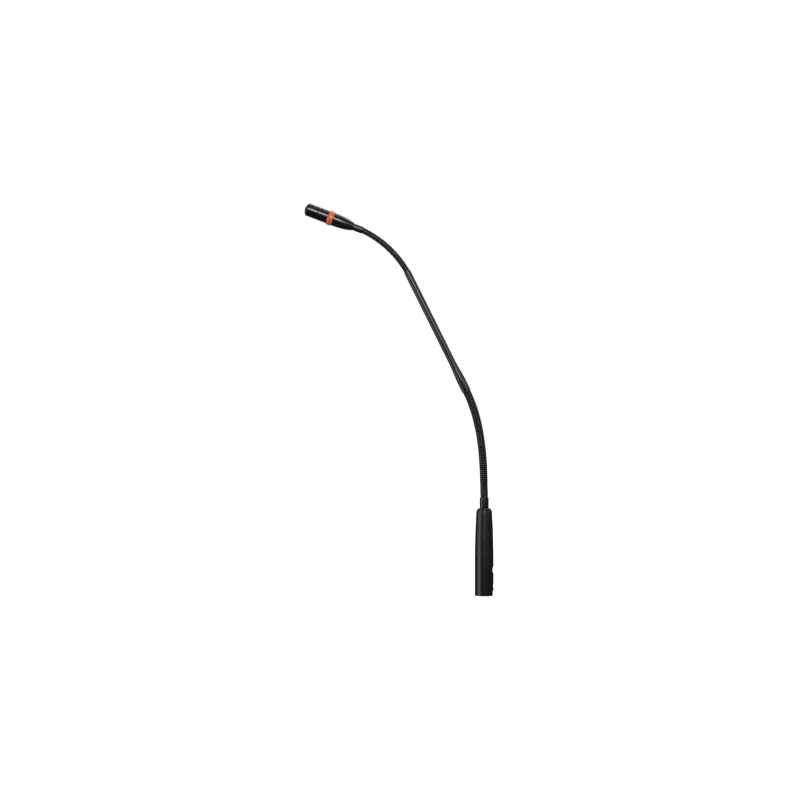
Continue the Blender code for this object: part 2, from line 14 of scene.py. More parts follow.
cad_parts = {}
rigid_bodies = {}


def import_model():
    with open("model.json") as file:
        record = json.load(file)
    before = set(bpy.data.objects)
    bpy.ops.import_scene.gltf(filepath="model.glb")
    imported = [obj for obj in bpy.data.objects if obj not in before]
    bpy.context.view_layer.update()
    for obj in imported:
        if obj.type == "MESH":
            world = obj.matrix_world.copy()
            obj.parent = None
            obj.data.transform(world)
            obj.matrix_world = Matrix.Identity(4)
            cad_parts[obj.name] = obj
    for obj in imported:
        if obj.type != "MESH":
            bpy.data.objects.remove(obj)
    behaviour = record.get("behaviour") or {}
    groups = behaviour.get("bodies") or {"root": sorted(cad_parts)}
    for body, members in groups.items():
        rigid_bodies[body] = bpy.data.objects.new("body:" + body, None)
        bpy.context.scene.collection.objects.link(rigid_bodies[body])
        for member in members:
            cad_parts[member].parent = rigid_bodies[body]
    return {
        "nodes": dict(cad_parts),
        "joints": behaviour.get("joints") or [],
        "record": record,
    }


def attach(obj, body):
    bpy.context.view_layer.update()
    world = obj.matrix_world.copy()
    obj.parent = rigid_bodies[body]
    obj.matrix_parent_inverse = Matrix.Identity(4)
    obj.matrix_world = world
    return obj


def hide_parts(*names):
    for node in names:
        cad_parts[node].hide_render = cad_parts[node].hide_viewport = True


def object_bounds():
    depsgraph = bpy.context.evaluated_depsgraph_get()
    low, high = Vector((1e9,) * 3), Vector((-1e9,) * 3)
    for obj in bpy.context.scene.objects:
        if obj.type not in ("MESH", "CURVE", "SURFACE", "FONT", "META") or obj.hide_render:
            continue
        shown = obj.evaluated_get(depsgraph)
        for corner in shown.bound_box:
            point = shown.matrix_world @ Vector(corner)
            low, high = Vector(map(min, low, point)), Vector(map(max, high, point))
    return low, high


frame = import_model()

CAD_LOW, CAD_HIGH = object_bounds()

# Camera and studio
CAMERA_DISTANCE = 2.0
VIEW_WIDTH = 0.808
FRAMING = Vector((0.00092, 0.0, -0.00055))
SENSOR = 36.0
LIGHT_DISTANCE = 2.5
FLOOR_GAP = 0.0005

# Edges sharper than this stay sharp when a piece is shaded smooth, and take a bevel when it is cut
SMOOTH_ANGLE = math.radians(32)

# Base
BARREL_HEIGHT = 0.0300
HOUSING_TOP_RADIUS = 0.0080
SHELL_BORE = 0.0080
SHELL_DEPTH = 0.0310
HANDLE_BORE = 0.0067
LEAD_IN_FLAT = 0.00865
SCREW_FLAT = 0.0085
SCREW_HEIGHT = 0.0260
CUT_REACH = 0.0120
CUT_HALF_WIDTH = 0.0060
LATCH_HALF_WIDTH = 0.0033
SCREW_HOLE = 0.0016
PIN_HOLE = 0.0015
PIN_CUP_BORE = 0.0007
PIN_CUP_DEPTH = 0.0030
INSERT_STEP = 0.0009
CAP_BORE = 0.0032
CAP_PLUG = 0.0064
CAP_RADIUS = 0.0070

# Neck. Each winding has its pitch, its round wire's radius, its flat wire's half width, and the
# steps in a turn. The lower wire's crests stand a little further out than its CAD links
LOWER_WINDING = (0.00205, 0.00064, 0.00050, 40)
UPPER_WINDING = (0.00115, 0.00036, 0.00029, 32)
CREST_RISE = 0.00014
WIRE_HEIGHT = 0.85
WIRE_ROUNDNESS = 0.8
FLAT_DROP = 0.30
FLAT_DEPTH = 1.2
FLAT_CROWN = 0.00004
STATION_GAP = 0.0012
TUBE_RADIUS = 0.00345
TUBE_BORE = 0.0022
FLARE_LENGTH = 0.0126
FLARE_TAPER = 0.0130
SOCKET_DEPTH = 0.0080
SOCKET_REACH = 0.0050
CABLE_RADIUS = 0.0008
CABLE_HOLE = 0.0013
STUD_RADIUS = 0.0029
LOWER_SOCKET = 0.00412
UPPER_SOCKET = 0.0032
COLLAR_SOCKET_FLOOR = 0.0930

# CAD nodes that touch keep a gap between them. The visible shells reach a seam's width further
# than their nodes, so that little of the gap shows
CAD_GAP = 0.0003
SEAM = 0.00012

# Head
FERRULE_LENGTH = 0.0100
BODY_END = 0.0315
BODY_TAIL_RADIUS = 0.0039
BODY_CURVE = 2.55
BODY_BORE = 0.0029
SPIGOT_RADIUS = 0.0048
SPIGOT_BORE = 0.0039
SPIGOT_END = 0.0396
RING_BORE = 0.0057
RING_GROOVE = 0.00655
RING_WALL = 0.0008
RING_CROWN = 0.00055
BACK_HOLE = 0.0051
BACK_PLATE_END = 0.0399
CAPSULE_WALL = 0.0007
CAPSULE_CHAMFER = 0.0003
DOME_RADIUS = 0.0095
SLOT_CENTRES = (0.0411, 0.0451, 0.0511, 0.0561)
SLOT_WIDTH = 0.0011
SLOT_LENGTH = 0.0034
SLOT_FLOOR = 0.0055
SLOT_BANKS = 4
SOUND_HOLE = 0.0008
SOUND_CIRCLE = 0.0029
SOUND_HOLES = 6
SOUND_HOLE_START = 0.0560


# Places in the frame

UP = Vector((0.0, 0.0, 1.0))
ACROSS = Vector((0.0, 1.0, 0.0))


def corners(node):
    """A CAD node's corner points at rest, each once."""
    found = np.array([vertex.co for vertex in frame["nodes"][node].data.vertices])
    return np.unique(found.round(7), axis=0)


def middle(node):
    return Vector(corners(node).mean(axis=0))


def heading(origin, ahead):
    """Frame at a point whose Z axis points at another, with the world's Y axis."""
    up = (ahead - origin).normalized()
    turn = Matrix((ACROSS.cross(up), ACROSS, up)).transposed()
    return Matrix.Translation(origin) @ turn.to_4x4()


def reach(node, place):
    """Lowest and highest point of a CAD node along a frame's Z axis, and its widest radius."""
    local = [place.inverted() @ Vector(point) for point in corners(node)]
    heights = [point.z for point in local]
    return min(heights), max(heights), max(math.hypot(point.x, point.y) for point in local)


def joint_points(first_child):
    """The joints of one flexible length: where each is, and the two bodies it joins."""
    chain = []
    for joint in frame["joints"]:
        if joint["child"].startswith(first_child):
            chain.append((Vector(joint["pos_m"]), joint["parent"], joint["child"]))
    last = chain[-1][2]
    for joint in frame["joints"]:
        if joint["parent"] == last:
            chain.append((Vector(joint["pos_m"]), joint["parent"], joint["child"]))
    return chain


LOWER_JOINTS = joint_points("lower_neck_link")
UPPER_JOINTS = joint_points("upper_neck_link")
BASE_PLACE = Matrix.Identity(4)
SCREW_PLACE = Matrix.Translation((0.0, 0.0, SCREW_HEIGHT)) @ Matrix.Rotation(math.pi / 2, 4, "Y")
TUBE_PLACE = heading(LOWER_JOINTS[-1][0], middle("rigid_tube"))
TUBE_BOTTOM, TUBE_TOP, FLARE_RADIUS = reach("rigid_tube", TUBE_PLACE)
HEAD_AXIS = heading(middle("head_ferrule"), middle("led_ring"))
HEAD_PLACE = HEAD_AXIS @ Matrix.Translation((0.0, 0.0, reach("head_ferrule", HEAD_AXIS)[0]))


# Materials

def add(tree, kind, inputs=(), **settings):
    """Add a shader node. Its inputs are numbers, or sockets to link from."""
    made = tree.nodes.new("ShaderNode" + kind)
    for name, value in settings.items():
        setattr(made, name, value)
    for socket, value in dict(inputs).items():
        if isinstance(value, bpy.types.NodeSocket):
            tree.links.new(value, made.inputs[socket])
        else:
            made.inputs[socket].default_value = value
    return made


def new_material(name, uniform):
    """Material with some of its shader's sockets set to values that hold all over it."""
    made = bpy.data.materials.new(name)
    made.use_nodes = True
    shader = made.node_tree.nodes["Principled BSDF"]
    for socket, value in uniform.items():
        shader.inputs[socket].default_value = value
    return made, made.node_tree, shader


def noise(tree, scale, stretch=(1.0, 1.0, 1.0), detail=3.0):
    """Noise in the object's own coordinates, with a scale in features per metre."""
    place = add(tree, "TexCoord").outputs["Object"]
    mapped = add(tree, "Mapping", {"Vector": place, "Scale": stretch}).outputs["Vector"]
    made = add(tree, "TexNoise", {"Vector": mapped, "Scale": scale, "Detail": detail})
    return made.outputs["Fac"]


def spread(tree, value, low, high, start=0.3, end=0.7):
    """Take a value between start and end to one between low and high."""
    return add(tree, "MapRange", {"Value": value, "From Min": start, "From Max": end,
                                  "To Min": low, "To Max": high}).outputs["Result"]


def mixed(tree, share, first, second):
    """Colour between two, each a colour or a socket."""
    node = add(tree, "Mix", {"Factor": share}, data_type="RGBA")
    for socket, value in ((node.inputs[6], first), (node.inputs[7], second)):
        if isinstance(value, bpy.types.NodeSocket):
            tree.links.new(value, socket)
        else:
            socket.default_value = (*value, 1.0)
    return node.outputs[2]


def relief(tree, shader, height, depth):
    bump = add(tree, "Bump", {"Height": height, "Distance": depth, "Strength": 1.0})
    tree.links.new(bump.outputs["Normal"], shader.inputs["Normal"])


def grained(name, dark, light, gloss, cloud, grain, depth, stretch=(1.0, 1.0, 1.0), uniform=None):
    """Material with two noises: a cloud that shifts colour and gloss, and a grain in relief."""
    made, tree, shader = new_material(name, uniform or {})
    clouds = noise(tree, cloud)
    grains = noise(tree, grain, stretch, 2.0)
    tree.links.new(mixed(tree, spread(tree, clouds, 0.0, 1.0), dark, light), shader.inputs["Base Color"])
    tree.links.new(spread(tree, clouds, *gloss), shader.inputs["Roughness"])
    relief(tree, shader, grains, depth)
    return made


def worn_wire_with_painted_light(name, dark, light, gloss, grain):
    """Black wire marked by a value on its mesh. Where the value is high, on the crests, it is lighter and
    glossier: partly real wear, partly a painted highlight. Where it is low, in the recesses, it is painted
    near black without specular as painted shade.
    """
    made, tree, shader = new_material(name, {})
    clouds = noise(tree, 900.0)
    crest = add(tree, "Attribute", attribute_name="wear_and_painted_light").outputs["Fac"]
    # Lighter colour from this share is partly rubbed wear and partly painted highlight; its low end paints
    # the recesses near black as painted shade.
    wear_and_light = add(tree, "Math", {0: crest, 1: spread(tree, clouds, 0.7, 1.0)}, operation="MULTIPLY")
    share = wear_and_light.outputs["Value"]
    tree.links.new(mixed(tree, share, dark, light), shader.inputs["Base Color"])
    tree.links.new(spread(tree, share, gloss[1], gloss[0], 0.0, 0.6), shader.inputs["Roughness"])
    tree.links.new(spread(tree, share, 0.0, 1.0, 0.30, 0.75), shader.inputs["Specular IOR Level"])
    relief(tree, shader, noise(tree, grain), 0.000004)
    return made


def lens_material():
    """Translucent orange-red ring, lit from inside, with a slightly uneven moulding."""
    made, tree, shader = new_material("red_lens", {
        "Subsurface Weight": 0.35, "Subsurface Radius": (0.0020, 0.0005, 0.0002), "Subsurface Scale": 0.6,
        "Specular IOR Level": 0.6, "Coat Weight": 0.6, "Coat Roughness": 0.18,
        "Emission Color": (0.60, 0.085, 0.045, 1.0), "Emission Strength": 0.32})
    clouds = noise(tree, 420.0)
    tree.links.new(mixed(tree, spread(tree, clouds, 0.0, 1.0), (0.60, 0.085, 0.040), (0.68, 0.110, 0.055)),
                   shader.inputs["Base Color"])
    tree.links.new(spread(tree, clouds, 0.28, 0.36), shader.inputs["Roughness"])
    relief(tree, shader, noise(tree, 1500.0), 0.000004)
    return made


RINGS = (1.0, 1.0, 30.0)
METAL = {"Metallic": 1.0}
MATERIALS = {
    "satin_black_metal": grained("satin_black_paint", (0.0040, 0.0040, 0.0043), (0.0065, 0.0065, 0.0069),
                                 (0.27, 0.36), 260.0, 3800.0, 0.000008,
                                 uniform={"Specular IOR Level": 0.55}),
    "turned_black": grained("turned_black_metal", (0.0045, 0.0045, 0.0048), (0.0080, 0.0080, 0.0084),
                            (0.22, 0.30), 300.0, 420.0, 0.000004, RINGS, {"Specular IOR Level": 0.6}),
    "gloss_black_metal": grained("gloss_black_paint", (0.0030, 0.0030, 0.0032), (0.0055, 0.0055, 0.0058),
                                 (0.20, 0.27), 320.0, 3200.0, 0.000005,
                                 uniform={"Specular IOR Level": 0.5, "Coat Weight": 0.3,
                                          "Coat Roughness": 0.16}),
    # Black wire with wear and a painted highlight on its crests and painted shade in its recesses
    "neck_steel": worn_wire_with_painted_light("black_wire", (0.0012, 0.0012, 0.0014), (0.0065, 0.0065, 0.0070), (0.16, 0.60),
                            5200.0),
    "red_lens": lens_material(),
    "circuit_board": grained("solder_mask", (0.010, 0.085, 0.036), (0.020, 0.150, 0.060), (0.30, 0.45),
                             900.0, 2600.0, 0.00001),
    "lamp_resin": grained("lamp_resin", (0.62, 0.16, 0.09), (0.80, 0.30, 0.20), (0.10, 0.20), 1500.0,
                          3000.0, 0.000004),
    "contact_carrier": grained("moulded_carrier", (0.008, 0.008, 0.008), (0.016, 0.016, 0.016),
                               (0.42, 0.58), 500.0, 5200.0, 0.000014),
    "silver_contact": grained("silver_plate", (0.66, 0.64, 0.59), (0.84, 0.82, 0.77), (0.14, 0.28), 700.0,
                              500.0, 0.000003, RINGS, METAL),
    "zinc_steel": grained("zinc_plate", (0.42, 0.43, 0.45), (0.60, 0.61, 0.62), (0.28, 0.42), 900.0,
                          4200.0, 0.000008, uniform=METAL),
    "chip_resin": grained("chip_epoxy", (0.014, 0.014, 0.015), (0.026, 0.026, 0.028), (0.50, 0.65), 800.0,
                          7000.0, 0.00001),
    "capacitor_can": grained("capacitor_sleeve", (0.54, 0.55, 0.57), (0.70, 0.71, 0.72), (0.22, 0.34),
                             800.0, 600.0, 0.000003, RINGS, METAL),
    "cable_jacket": grained("cable_jacket", (0.050, 0.050, 0.053), (0.075, 0.075, 0.080), (0.50, 0.64),
                            600.0, 4800.0, 0.000012),
    "dark_mesh": grained("blackened_mesh", (0.020, 0.020, 0.020), (0.050, 0.050, 0.050), (0.34, 0.50),
                         1200.0, 6000.0, 0.000006, uniform=METAL),
    "capsule_can": grained("capsule_can", (0.50, 0.50, 0.50), (0.66, 0.66, 0.66), (0.24, 0.36), 700.0,
                           500.0, 0.000004, RINGS, METAL),
    "seal_rubber": grained("seal_rubber", (0.018, 0.018, 0.018), (0.034, 0.034, 0.034), (0.70, 0.85),
                           900.0, 5200.0, 0.00002),
}


# Shapes

def rounded(outline, closed=True, steps=5):
    """Outline of (radius, height, fillet) corners, with an arc at each corner that has a fillet."""
    points = [Vector(corner[:2]) for corner in outline]
    found = []
    for number, (radius, height, fillet) in enumerate(outline):
        here = points[number]
        at_end = not closed and number in (0, len(outline) - 1)
        if fillet == 0.0 or at_end:
            found.append((radius, height))
            continue
        back = points[number - 1] - here
        ahead = points[(number + 1) % len(points)] - here
        half = back.angle(ahead) / 2
        run = min(fillet / math.tan(half), 0.49 * back.length, 0.49 * ahead.length)
        size = run * math.tan(half)
        centre = here + (back.normalized() + ahead.normalized()).normalized() * (size / math.sin(half))
        first = here + back.normalized() * run - centre
        last = here + ahead.normalized() * run - centre
        total = first.angle(last)
        for step in range(steps + 1):
            share = step / steps
            turned_arm = first * math.sin((1 - share) * total) + last * math.sin(share * total)
            found.append(tuple(centre + turned_arm / math.sin(total)))
    return found


def revolve(section, sides):
    """Bmesh of a section of (radius, height) points turned about Z, closed or from axis to axis."""
    shape = bmesh.new()
    rings = []
    turns = [math.tau * side / sides for side in range(sides)]
    for radius, height in section:
        angles = turns if radius > 0.0 else [0.0]
        rings.append([shape.verts.new((radius * math.cos(angle), radius * math.sin(angle), height))
                      for angle in angles])
    pairs = list(zip(rings, rings[1:]))
    if section[0][0] > 0.0:
        pairs.append((rings[-1], rings[0]))
    for lower, upper in pairs:
        for side in range(sides):
            after = (side + 1) % sides
            around = [lower[side % len(lower)], lower[after % len(lower)],
                      upper[after % len(upper)], upper[side % len(upper)]]
            shape.faces.new(list(dict.fromkeys(around)))
    return shape


def add_piece(name, mesh, material, place):
    mesh.materials.append(MATERIALS[material])
    mesh.shade_smooth()
    mesh.set_sharp_from_angle(angle=SMOOTH_ANGLE)
    obj = bpy.data.objects.new(name, mesh)
    bpy.context.scene.collection.objects.link(obj)
    obj.matrix_world = place
    return obj


def add_shape(name, shape, material, place):
    """Piece from a bmesh given in the frame of its place."""
    bmesh.ops.recalc_face_normals(shape, faces=shape.faces)
    mesh = bpy.data.meshes.new(name)
    shape.to_mesh(mesh)
    shape.free()
    return add_piece(name, mesh, material, place)


def turned(name, section, sides, material, place):
    return add_shape(name, revolve(section, sides), material, place)


def box_shape(low, high, bevel=0.0):
    shape = bmesh.new()
    centre = (Vector(low) + Vector(high)) / 2
    size = Vector(high) - Vector(low)
    place = Matrix.Translation(centre) @ Matrix.Diagonal((*size, 1.0))
    bmesh.ops.create_cube(shape, size=1.0, matrix=place)
    if bevel:
        bmesh.ops.bevel(shape, geom=shape.edges[:], offset=bevel, segments=3, affect="EDGES", profile=0.5)
    return shape


def rod_shape(radius, bottom, top, place=None, sides=40):
    shape = revolve([(0.0, bottom), (radius, bottom), (radius, top), (0.0, top)], sides)
    if place:
        shape.transform(place)
    return shape


def apply_modifiers(obj):
    """Replace an object's mesh with what its modifiers make of it."""
    bpy.context.view_layer.update()
    final = bpy.data.meshes.new_from_object(obj.evaluated_get(bpy.context.evaluated_depsgraph_get()))
    obj.modifiers.clear()
    obj.data = final


def carve(obj, shapes, edge=0.00012):
    """Cut bmeshes, given in the object's own frame, out of it, and soften the new edges."""
    tools = []
    for shape in shapes:
        bmesh.ops.recalc_face_normals(shape, faces=shape.faces)
        mesh = bpy.data.meshes.new("tool")
        shape.to_mesh(mesh)
        shape.free()
        tool = bpy.data.objects.new("tool", mesh)
        bpy.context.scene.collection.objects.link(tool)
        tool.matrix_world = obj.matrix_world
        modifier = obj.modifiers.new("cut", "BOOLEAN")
        modifier.operation = "DIFFERENCE"
        modifier.solver = "EXACT"
        modifier.object = tool
        tools.append(tool)
    bevel = obj.modifiers.new("edge", "BEVEL")
    bevel.width = edge
    bevel.segments = 2
    bevel.limit_method = "ANGLE"
    bevel.angle_limit = SMOOTH_ANGLE
    apply_modifiers(obj)
    for tool in tools:
        bpy.data.objects.remove(tool)
    obj.data.set_sharp_from_angle(angle=SMOOTH_ANGLE)


def settle(obj, body, slot, *nodes):
    """A finished piece rides on a body and stands for CAD nodes, which are hidden. The slot is not used."""
    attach(obj, body)
    if nodes:
        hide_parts(*nodes)


# Base

def housing_radius(height, barrel, top):
    share = max(0.0, (height - BARREL_HEIGHT) / (top - BARREL_HEIGHT))
    return barrel - (barrel - HOUSING_TOP_RADIUS) * share ** 2


def side_cut(depth, half_width, low, high, bevel):
    """Block that cuts the +X side of the base down to a distance from its axis."""
    return box_shape((depth, -half_width, low), (CUT_REACH, half_width, high), bevel)


def base_housing():
    bottom, top, barrel = reach("base_housing", BASE_PLACE)
    taper = [bottom + BARREL_HEIGHT + (top - BARREL_HEIGHT) * step / 24 for step in range(24)]
    outline = [(SHELL_BORE, bottom, 0.0004), (barrel, bottom, 0.0007)]
    outline += [(housing_radius(height, barrel, top), height, 0.0) for height in taper]
    outline += [(HOUSING_TOP_RADIUS, top, 0.0004), (HANDLE_BORE, top, 0.0002),
                (HANDLE_BORE, SHELL_DEPTH, 0.0), (SHELL_BORE, SHELL_DEPTH, 0.0)]
    shell = turned("base_shell", rounded(outline), 160, "satin_black_metal", BASE_PLACE)
    lead_in = side_cut(LEAD_IN_FLAT, CUT_HALF_WIDTH, -0.0020, 0.0050, 0.0003)
    latch = side_cut(0.0060, LATCH_HALF_WIDTH, 0.0086, 0.0112, 0.0005)
    screw_flat = side_cut(SCREW_FLAT, CUT_HALF_WIDTH, 0.0232, 0.0288, 0.0004)
    hole = rod_shape(SCREW_HOLE, 0.0065, 0.0100, SCREW_PLACE)
    carve(shell, [lead_in, latch, screw_flat, hole])
    settle(shell, "base", "satin_black_metal", "base_housing")


def base_cap():
    bottom, top, _ = reach("base_top_cap", BASE_PLACE)
    rim = reach("base_housing", BASE_PLACE)[1] + CAD_GAP - SEAM
    outline = [(CAP_BORE, bottom, 0.0), (CAP_PLUG, bottom, 0.0002), (CAP_PLUG, rim, 0.0),
               (CAP_RADIUS, rim, 0.0001), (CAP_RADIUS, top, 0.0009), (CAP_BORE, top, 0.0001)]
    cap = turned("base_cap", rounded(outline), 128, "satin_black_metal", BASE_PLACE)
    settle(cap, "base", "satin_black_metal", "base_top_cap")


def collar():
    bottom, top, radius = reach("neck_collar", BASE_PLACE)
    shoulder = reach("base_top_cap", BASE_PLACE)[1] + CAD_GAP - SEAM
    outline = [(CABLE_HOLE, bottom, 0.0001), (STUD_RADIUS, bottom, 0.0004), (STUD_RADIUS, shoulder, 0.0),
               (radius, shoulder, 0.0002), (radius, top, 0.0003), (LOWER_SOCKET, top, 0.0001),
               (LOWER_SOCKET, COLLAR_SOCKET_FLOOR, 0.0002), (CABLE_HOLE, COLLAR_SOCKET_FLOOR, 0.0001)]
    piece = turned("neck_collar_sleeve", rounded(outline), 96, "turned_black", BASE_PLACE)
    settle(piece, "base", "satin_black_metal", "neck_collar")


def xlr_contacts():
    """Moulded insert with its pins, set in the barrel by a slotted screw."""
    face, back, radius = reach("xlr_insert", BASE_PLACE)
    step = radius - INSERT_STEP
    outline = [(0.0, face, 0.0), (0.0024, face, 0.0), (step, face, 0.0001),
               (step, face + 0.0004, 0.0001), (radius, face + 0.0004, 0.0002),
               (radius, back, 0.0003), (0.0, back, 0.0)]
    insert = turned("xlr_carrier", rounded(outline, closed=False), 96, "contact_carrier", BASE_PLACE)
    pins = ["xlr_pin_1", "xlr_pin_2", "xlr_pin_3"]
    centres = [middle(pin) for pin in pins]
    holes = []
    for centre in centres:
        place = Matrix.Translation((centre.x, centre.y, 0.0))
        holes.append(rod_shape(PIN_HOLE, face - 0.002, back + 0.002, place))
    holes.append(rod_shape(SCREW_HOLE, 0.0056, 0.0100, SCREW_PLACE))
    carve(insert, holes, 0.00008)
    settle(insert, "base", "contact_carrier", "xlr_insert")

    for pin, centre in zip(pins, centres):
        place = Matrix.Translation((centre.x, centre.y, 0.0))
        low, high, size = reach(pin, place)
        outline = [(0.0, low, 0.0), (size, low, 0.0011), (size, high, 0.0001), (PIN_CUP_BORE, high, 0.0001),
                   (PIN_CUP_BORE, high - PIN_CUP_DEPTH, 0.0002), (0.0, high - PIN_CUP_DEPTH, 0.0)]
        contact = turned(pin + "_contact", rounded(outline, closed=False), 48, "silver_contact", place)
        settle(contact, "base", "silver_contact", pin)

    low, high, size = reach("insert_screw", SCREW_PLACE)
    outline = [(0.0, low, 0.0), (size, low, 0.0002), (size, high, 0.0002), (0.0, high, 0.0)]
    screw = turned("insert_set_screw", rounded(outline, closed=False), 48, "zinc_steel", SCREW_PLACE)
    carve(screw, [box_shape((-0.002, -0.0002, high - 0.0006), (0.002, 0.0002, high + 0.001))], 0.00006)
    settle(screw, "base", "zinc_steel", "insert_screw")


# Neck

def smooth_line(stops, steps=32):
    """Dense points along a smooth curve through the stops, and the distance of each along it."""
    stops = np.array([tuple(stop) for stop in stops])
    padded = np.vstack([2 * stops[0] - stops[1], stops, 2 * stops[-1] - stops[-2]])
    share = np.linspace(0.0, 1.0, steps, endpoint=False)[:, None]
    points = []
    for before, here, after, beyond in zip(padded, padded[1:], padded[2:], padded[3:]):
        points.append(0.5 * (2 * here + (after - before) * share
                             + (2 * before - 5 * here + 4 * after - beyond) * share ** 2
                             + (3 * here - before - 3 * after + beyond) * share ** 3))
    points = np.vstack([*points, stops[-1:]])
    gaps = np.linalg.norm(np.diff(points, axis=0), axis=1)
    distances = np.concatenate([[0.0], np.cumsum(gaps)])
    return points, distances, distances[::steps]


def point_on(line, distance):
    points, distances, _ = line
    return np.stack([np.interp(distance, distances, points[:, axis]) for axis in range(3)], axis=-1)


def rings_along(line, stations, angles, profile):
    """Rings of a profile of (along, outwards) points, at stations and angles about a line."""
    step = 0.0003
    centre = point_on(line, stations)
    tangent = point_on(line, stations + step) - point_on(line, stations - step)
    tangent /= np.linalg.norm(tangent, axis=1)[:, None]
    side = np.array(ACROSS)
    normal = np.cross(side, tangent)
    outwards = np.cos(angles)[:, None] * normal + np.sin(angles)[:, None] * side
    along = np.array([point[0] for point in profile])[None, :, None]
    radius = np.array([point[1] for point in profile])[None, :, None]
    return centre[:, None, :] + along * tangent[:, None, :] + radius * outwards[:, None, :]


def round_profile(radius, crown, sides=14):
    """Round wire, pressed a little flatter and squarer, with its crown at a radius."""
    points = []
    height = WIRE_HEIGHT * radius
    for side in range(sides):
        cosine = math.cos(math.tau * side / sides)
        sine = math.sin(math.tau * side / sides)
        across = radius * math.copysign(abs(cosine) ** WIRE_ROUNDNESS, cosine)
        outwards = height * math.copysign(abs(sine) ** WIRE_ROUNDNESS, sine)
        points.append((across, crown - height + outwards))
    return points


def flat_profile(half_width, outer, depth):
    """Triangular wire, with its slightly crowned base outwards and its blunt tip inwards."""
    tip = 0.2 * half_width
    edge = outer - FLAT_CROWN
    return [(half_width, edge), (0.5 * half_width, outer), (-0.5 * half_width, outer),
            (-half_width, edge), (-tip, outer - depth), (tip, outer - depth)]


def tubes_mesh(name, tubes):
    """Mesh of closed tubes, each given as rings of points, with a value at every point for wear and painted
    light.
    """
    points, faces, wear_and_painted_light, slots = [], [], [], []
    for rings, marks, slot in tubes:
        count, around, _ = rings.shape
        grid = sum(len(block) for block in points) + np.arange(count * around).reshape(count, around)
        after = np.roll(grid, -1, axis=1)
        quads = np.stack([grid[:-1], after[:-1], after[1:], grid[1:]], axis=-1).reshape(-1, 4).tolist()
        quads += [grid[0][::-1].tolist(), grid[-1].tolist()]
        points.append(rings.reshape(-1, 3))
        faces += quads
        slots += [slot] * len(quads)
        wear_and_painted_light.append(np.tile(marks, count))
    mesh = bpy.data.meshes.new(name)
    mesh.from_pydata(np.concatenate(points).tolist(), [], faces)
    mesh.attributes.new("wear_and_painted_light", "FLOAT", "POINT").data.foreach_set("value", np.concatenate(wear_and_painted_light))
    mesh.polygons.foreach_set("material_index", slots)
    shape = bmesh.new()
    shape.from_mesh(mesh)
    bmesh.ops.recalc_face_normals(shape, faces=shape.faces)
    shape.to_mesh(mesh)
    shape.free()
    return mesh


def crest(profile):
    """Mark of each profile point for wear and painted light: none at the winding's root, painted shade
    there, and full on its crest, partly wear and partly a painted highlight.
    """
    outwards = np.array([point[1] for point in profile])
    share = (outwards - outwards.min()) / (outwards.max() - outwards.min())
    return share ** 3


def winding(line, begin, end, radius, size):
    """The round wire and the triangular wire between its turns, over one stretch of a line."""
    pitch, wire, flat, steps = size
    stations = np.linspace(begin, end, max(3, round((end - begin) / pitch * steps)) + 1)
    turns = math.tau * stations / pitch
    round_wire = round_profile(wire, radius)
    flat_wire = flat_profile(flat, radius - FLAT_DROP * wire, FLAT_DEPTH * wire)
    # In this list the flat wire, recessed between the turns, takes zero marks all over, which paints it
    # near black as painted shade.
    return [(rings_along(line, stations, turns, round_wire), crest(round_wire), 0),
            (rings_along(line, stations, turns + math.pi, flat_wire), np.zeros(len(flat_wire)), 0)]


def tube_run(line, stations, radii, slot):
    """Smooth tube about a line, with a radius at each station."""
    sides = 18
    centre = rings_along(line, stations, np.zeros(len(stations)), [(0.0, 0.0)])
    around = [rings_along(line, stations, np.full(len(stations), math.tau * side / sides), [(0.0, 1.0)])
              for side in range(sides)]
    rings = centre + (np.concatenate(around, axis=1) - centre) * radii[:, None, None]
    return (rings, np.zeros(sides), slot)


def even_stations(begin, end):
    return np.linspace(begin, end, max(2, round((end - begin) / STATION_GAP)) + 1)


def cable_run(line, begin, end):
    stations = even_stations(begin, end)
    return tube_run(line, stations, np.full(len(stations), CABLE_RADIUS), 1)


def liner(line, begin, end, radius, ball_end):
    """Liner under the wires. A ball end about the joint closes the opening when the neck bends."""
    stations = even_stations(begin, end)
    radii = np.full(len(stations), radius)
    if ball_end:
        rise = np.linspace(0.0, 0.5 * math.pi, 9)[1:]
        stations = np.append(stations, end + radius * np.sin(rise))
        radii = np.append(radii, radius * np.cos(rise) + 0.00002)
    return tube_run(line, stations, radii, 0)


def flexible_length(label, joints, mouths, radius, size):
    """Wires, liner and cable of one flexible length, in a rigid piece for each body along it.

    The pieces part at the joints. The mouths are the points where the length leaves the sockets at
    its two ends, each with the direction into its socket.
    """
    (low_mouth, low_inwards), (high_mouth, high_inwards) = mouths
    line = smooth_line([low_mouth + SOCKET_REACH * low_inwards, low_mouth,
                        *[point for point, _, _ in joints],
                        high_mouth, high_mouth + SOCKET_REACH * high_inwards])
    _, distances, at_stops = line
    bodies = [joints[0][1], *[child for _, _, child in joints]]
    bounds = [0.0, *at_stops[2:2 + len(joints)], distances[-1]]
    for number, body in enumerate(bodies):
        begin, end = bounds[number], bounds[number + 1]
        tubes = winding(line, begin, end, radius, size)
        tubes.append(liner(line, begin, end, radius - size[1], body != bodies[-1]))
        tubes.append(cable_run(line, begin, end))
        mesh = tubes_mesh("%s_%02d" % (label, number + 1), tubes)
        piece = add_piece(mesh.name, mesh, "neck_steel", Matrix.Identity(4))
        mesh.materials.append(MATERIALS["cable_jacket"])
        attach(piece, body)
        if body in frame["nodes"]:
            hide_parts(body)


def link_radius(node, joints):
    return reach(node, heading(joints[0][0], joints[1][0]))[2]


